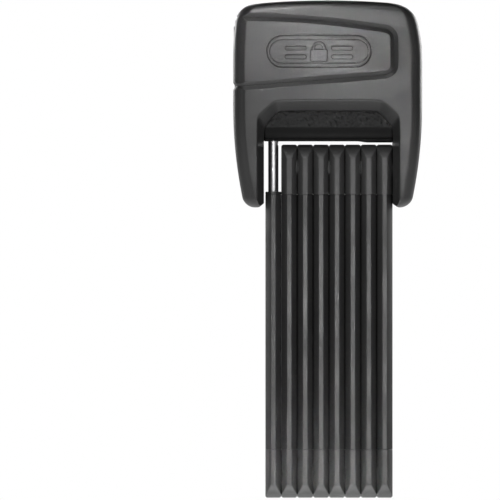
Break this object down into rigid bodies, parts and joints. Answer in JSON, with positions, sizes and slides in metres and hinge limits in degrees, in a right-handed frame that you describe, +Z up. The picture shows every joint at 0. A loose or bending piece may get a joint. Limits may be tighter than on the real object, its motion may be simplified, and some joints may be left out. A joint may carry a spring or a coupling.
{
  "type": "folding bike lock",
  "caption": "Folding lock: flat coated steel bars hinged end to end, folded between the arms of a housing that takes the end bar's rod.",
  "frame": {"origin": "centre of the raised panel on the flat back of the housing", "axes": "+Z up along the folded bars towards the housing, +Y out of the back, -Y out of the front, +X to the right seen from the front"},
  "size_m": [0.092, 0.0404, 0.2424],
  "materials": {
    "housing_plastic": "fine-grained soft-touch dark grey moulding",
    "liner_plastic": "black moulding with a pebbled band",
    "cap_plastic": "satin dark grey moulding",
    "sleeve_plastic": "satin black coat",
    "bar_steel": "hardened steel plate",
    "rod_steel": "bright plated rod",
    "rivet_steel": "turned steel",
    "block_zinc": "die-cast zinc, as cast",
    "cylinder_brass": "turned brass",
    "screw_steel": "blackened steel"
  },
  "bodies": {
    "housing": {"front_cover": "housing_plastic", "back_cover": "housing_plastic", "cover_screw_top_left": "screw_steel", "cover_screw_top_right": "screw_steel", "cover_screw_arm_left": "screw_steel", "cover_screw_arm_right": "screw_steel", "recess_liner": "liner_plastic", "lock_block": "block_zinc", "pocket_plug": "block_zinc", "anchor_plate": "bar_steel", "keyhole_bezel": "screw_steel", "cylinder_shell": "cylinder_brass", "bolt_spring_front": "bar_steel", "bolt_spring_back": "bar_steel"},
    "key_rotor": {"key_rotor": "cylinder_brass", "drive_cam": "bar_steel"},
    "bolt_front": {"bolt_front": "bar_steel"},
    "bolt_back": {"bolt_back": "bar_steel"},
    "keyhole_shutter": {"keyhole_shutter": "liner_plastic"},
    "bar_1": {"steel_bar_1": "bar_steel", "sleeve_1": "sleeve_plastic", "cap_top_1": "cap_plastic", "cap_bottom_1": "cap_plastic", "rivet_1": "rivet_steel"},
    "bar_2": {"steel_bar_2": "bar_steel", "sleeve_2": "sleeve_plastic", "cap_top_2": "cap_plastic", "cap_bottom_2": "cap_plastic", "rivet_2": "rivet_steel"},
    "bar_3": {"steel_bar_3": "bar_steel", "sleeve_3": "sleeve_plastic", "cap_top_3": "cap_plastic", "cap_bottom_3": "cap_plastic", "rivet_3": "rivet_steel"},
    "bar_4": {"steel_bar_4": "bar_steel", "sleeve_4": "sleeve_plastic", "cap_top_4": "cap_plastic", "cap_bottom_4": "cap_plastic", "rivet_4": "rivet_steel"},
    "bar_5": {"steel_bar_5": "bar_steel", "sleeve_5": "sleeve_plastic", "cap_top_5": "cap_plastic", "cap_bottom_5": "cap_plastic", "rivet_5": "rivet_steel"},
    "bar_6": {"steel_bar_6": "bar_steel", "sleeve_6": "sleeve_plastic", "cap_top_6": "cap_plastic", "cap_bottom_6": "cap_plastic", "rivet_6": "rivet_steel"},
    "bar_7": {"steel_bar_7": "bar_steel", "sleeve_7": "sleeve_plastic", "cap_top_7": "cap_plastic", "cap_bottom_7": "cap_plastic", "rivet_7": "rivet_steel"},
    "bar_8": {"steel_bar_8": "rod_steel", "sleeve_8": "sleeve_plastic", "rod_collar": "sleeve_plastic", "cap_bottom_8": "cap_plastic", "rivet_8": "rivet_steel"}
  },
  "joints": [
    {"name": "pack_swing", "type": "hinge", "parent": "housing", "child": "bar_1", "pos_m": [0.0317, -0.02, -0.0565], "axis": [1, 0, 0], "range_deg": [-95, 95]},
    {"name": "unfold", "type": "hinge", "parent": "bar_1", "child": "bar_2", "pos_m": [0.02395, -0.02, -0.2065], "axis": [1, 0, 0], "range_deg": [-175, 175]},
    {"name": "unfold_bar_3", "type": "hinge", "parent": "bar_2", "child": "bar_3", "pos_m": [0.0162, -0.02, -0.0565], "axis": [1, 0, 0], "range_deg": [-175, 175]},
    {"name": "unfold_bar_4", "type": "hinge", "parent": "bar_3", "child": "bar_4", "pos_m": [0.00845, -0.02, -0.2065], "axis": [1, 0, 0], "range_deg": [-175, 175]},
    {"name": "unfold_bar_5", "type": "hinge", "parent": "bar_4", "child": "bar_5", "pos_m": [0.0007, -0.02, -0.0565], "axis": [1, 0, 0], "range_deg": [-175, 175]},
    {"name": "tail_swing", "type": "hinge", "parent": "bar_5", "child": "bar_6", "pos_m": [-0.00705, -0.02, -0.2065], "axis": [1, 0, 0], "range_deg": [-170, 170]},
    {"name": "pack_swing_bar_7", "type": "hinge", "parent": "bar_6", "child": "bar_7", "pos_m": [-0.0148, -0.02, -0.0565], "axis": [1, 0, 0], "range_deg": [-95, 95]},
    {"name": "tail_swing_bar_8", "type": "hinge", "parent": "bar_7", "child": "bar_8", "pos_m": [-0.02255, -0.02, -0.2065], "axis": [1, 0, 0], "range_deg": [-170, 170]},
    {"name": "key_turn", "type": "hinge", "parent": "housing", "child": "key_rotor", "pos_m": [-0.036, -0.02, -0.006], "axis": [1, 0, 0], "range_deg": [0, 90]},
    {"name": "bolt_front_slide", "type": "slide", "parent": "housing", "child": "bolt_front", "axis": [0, 1, 0], "range_m": [0, 0.0023]},
    {"name": "bolt_back_slide", "type": "slide", "parent": "housing", "child": "bolt_back", "axis": [0, -1, 0], "range_m": [0, 0.0023]},
    {"name": "shutter_slide", "type": "slide", "parent": "housing", "child": "keyhole_shutter", "axis": [0, 0, 1], "range_m": [0, 0.009]}
  ],
  "couplings": [
    {"joint": "unfold_bar_3", "follows": "unfold", "ratio": -1},
    {"joint": "unfold_bar_4", "follows": "unfold", "ratio": -1},
    {"joint": "unfold_bar_5", "follows": "unfold", "ratio": 1},
    {"joint": "pack_swing_bar_7", "follows": "pack_swing", "ratio": -1},
    {"joint": "tail_swing_bar_8", "follows": "tail_swing", "ratio": -1},
    {"joint": "bolt_front_slide", "follows": "key_turn", "m_per_rad": 0.001464},
    {"joint": "bolt_back_slide", "follows": "key_turn", "m_per_rad": 0.001464}
  ]
}
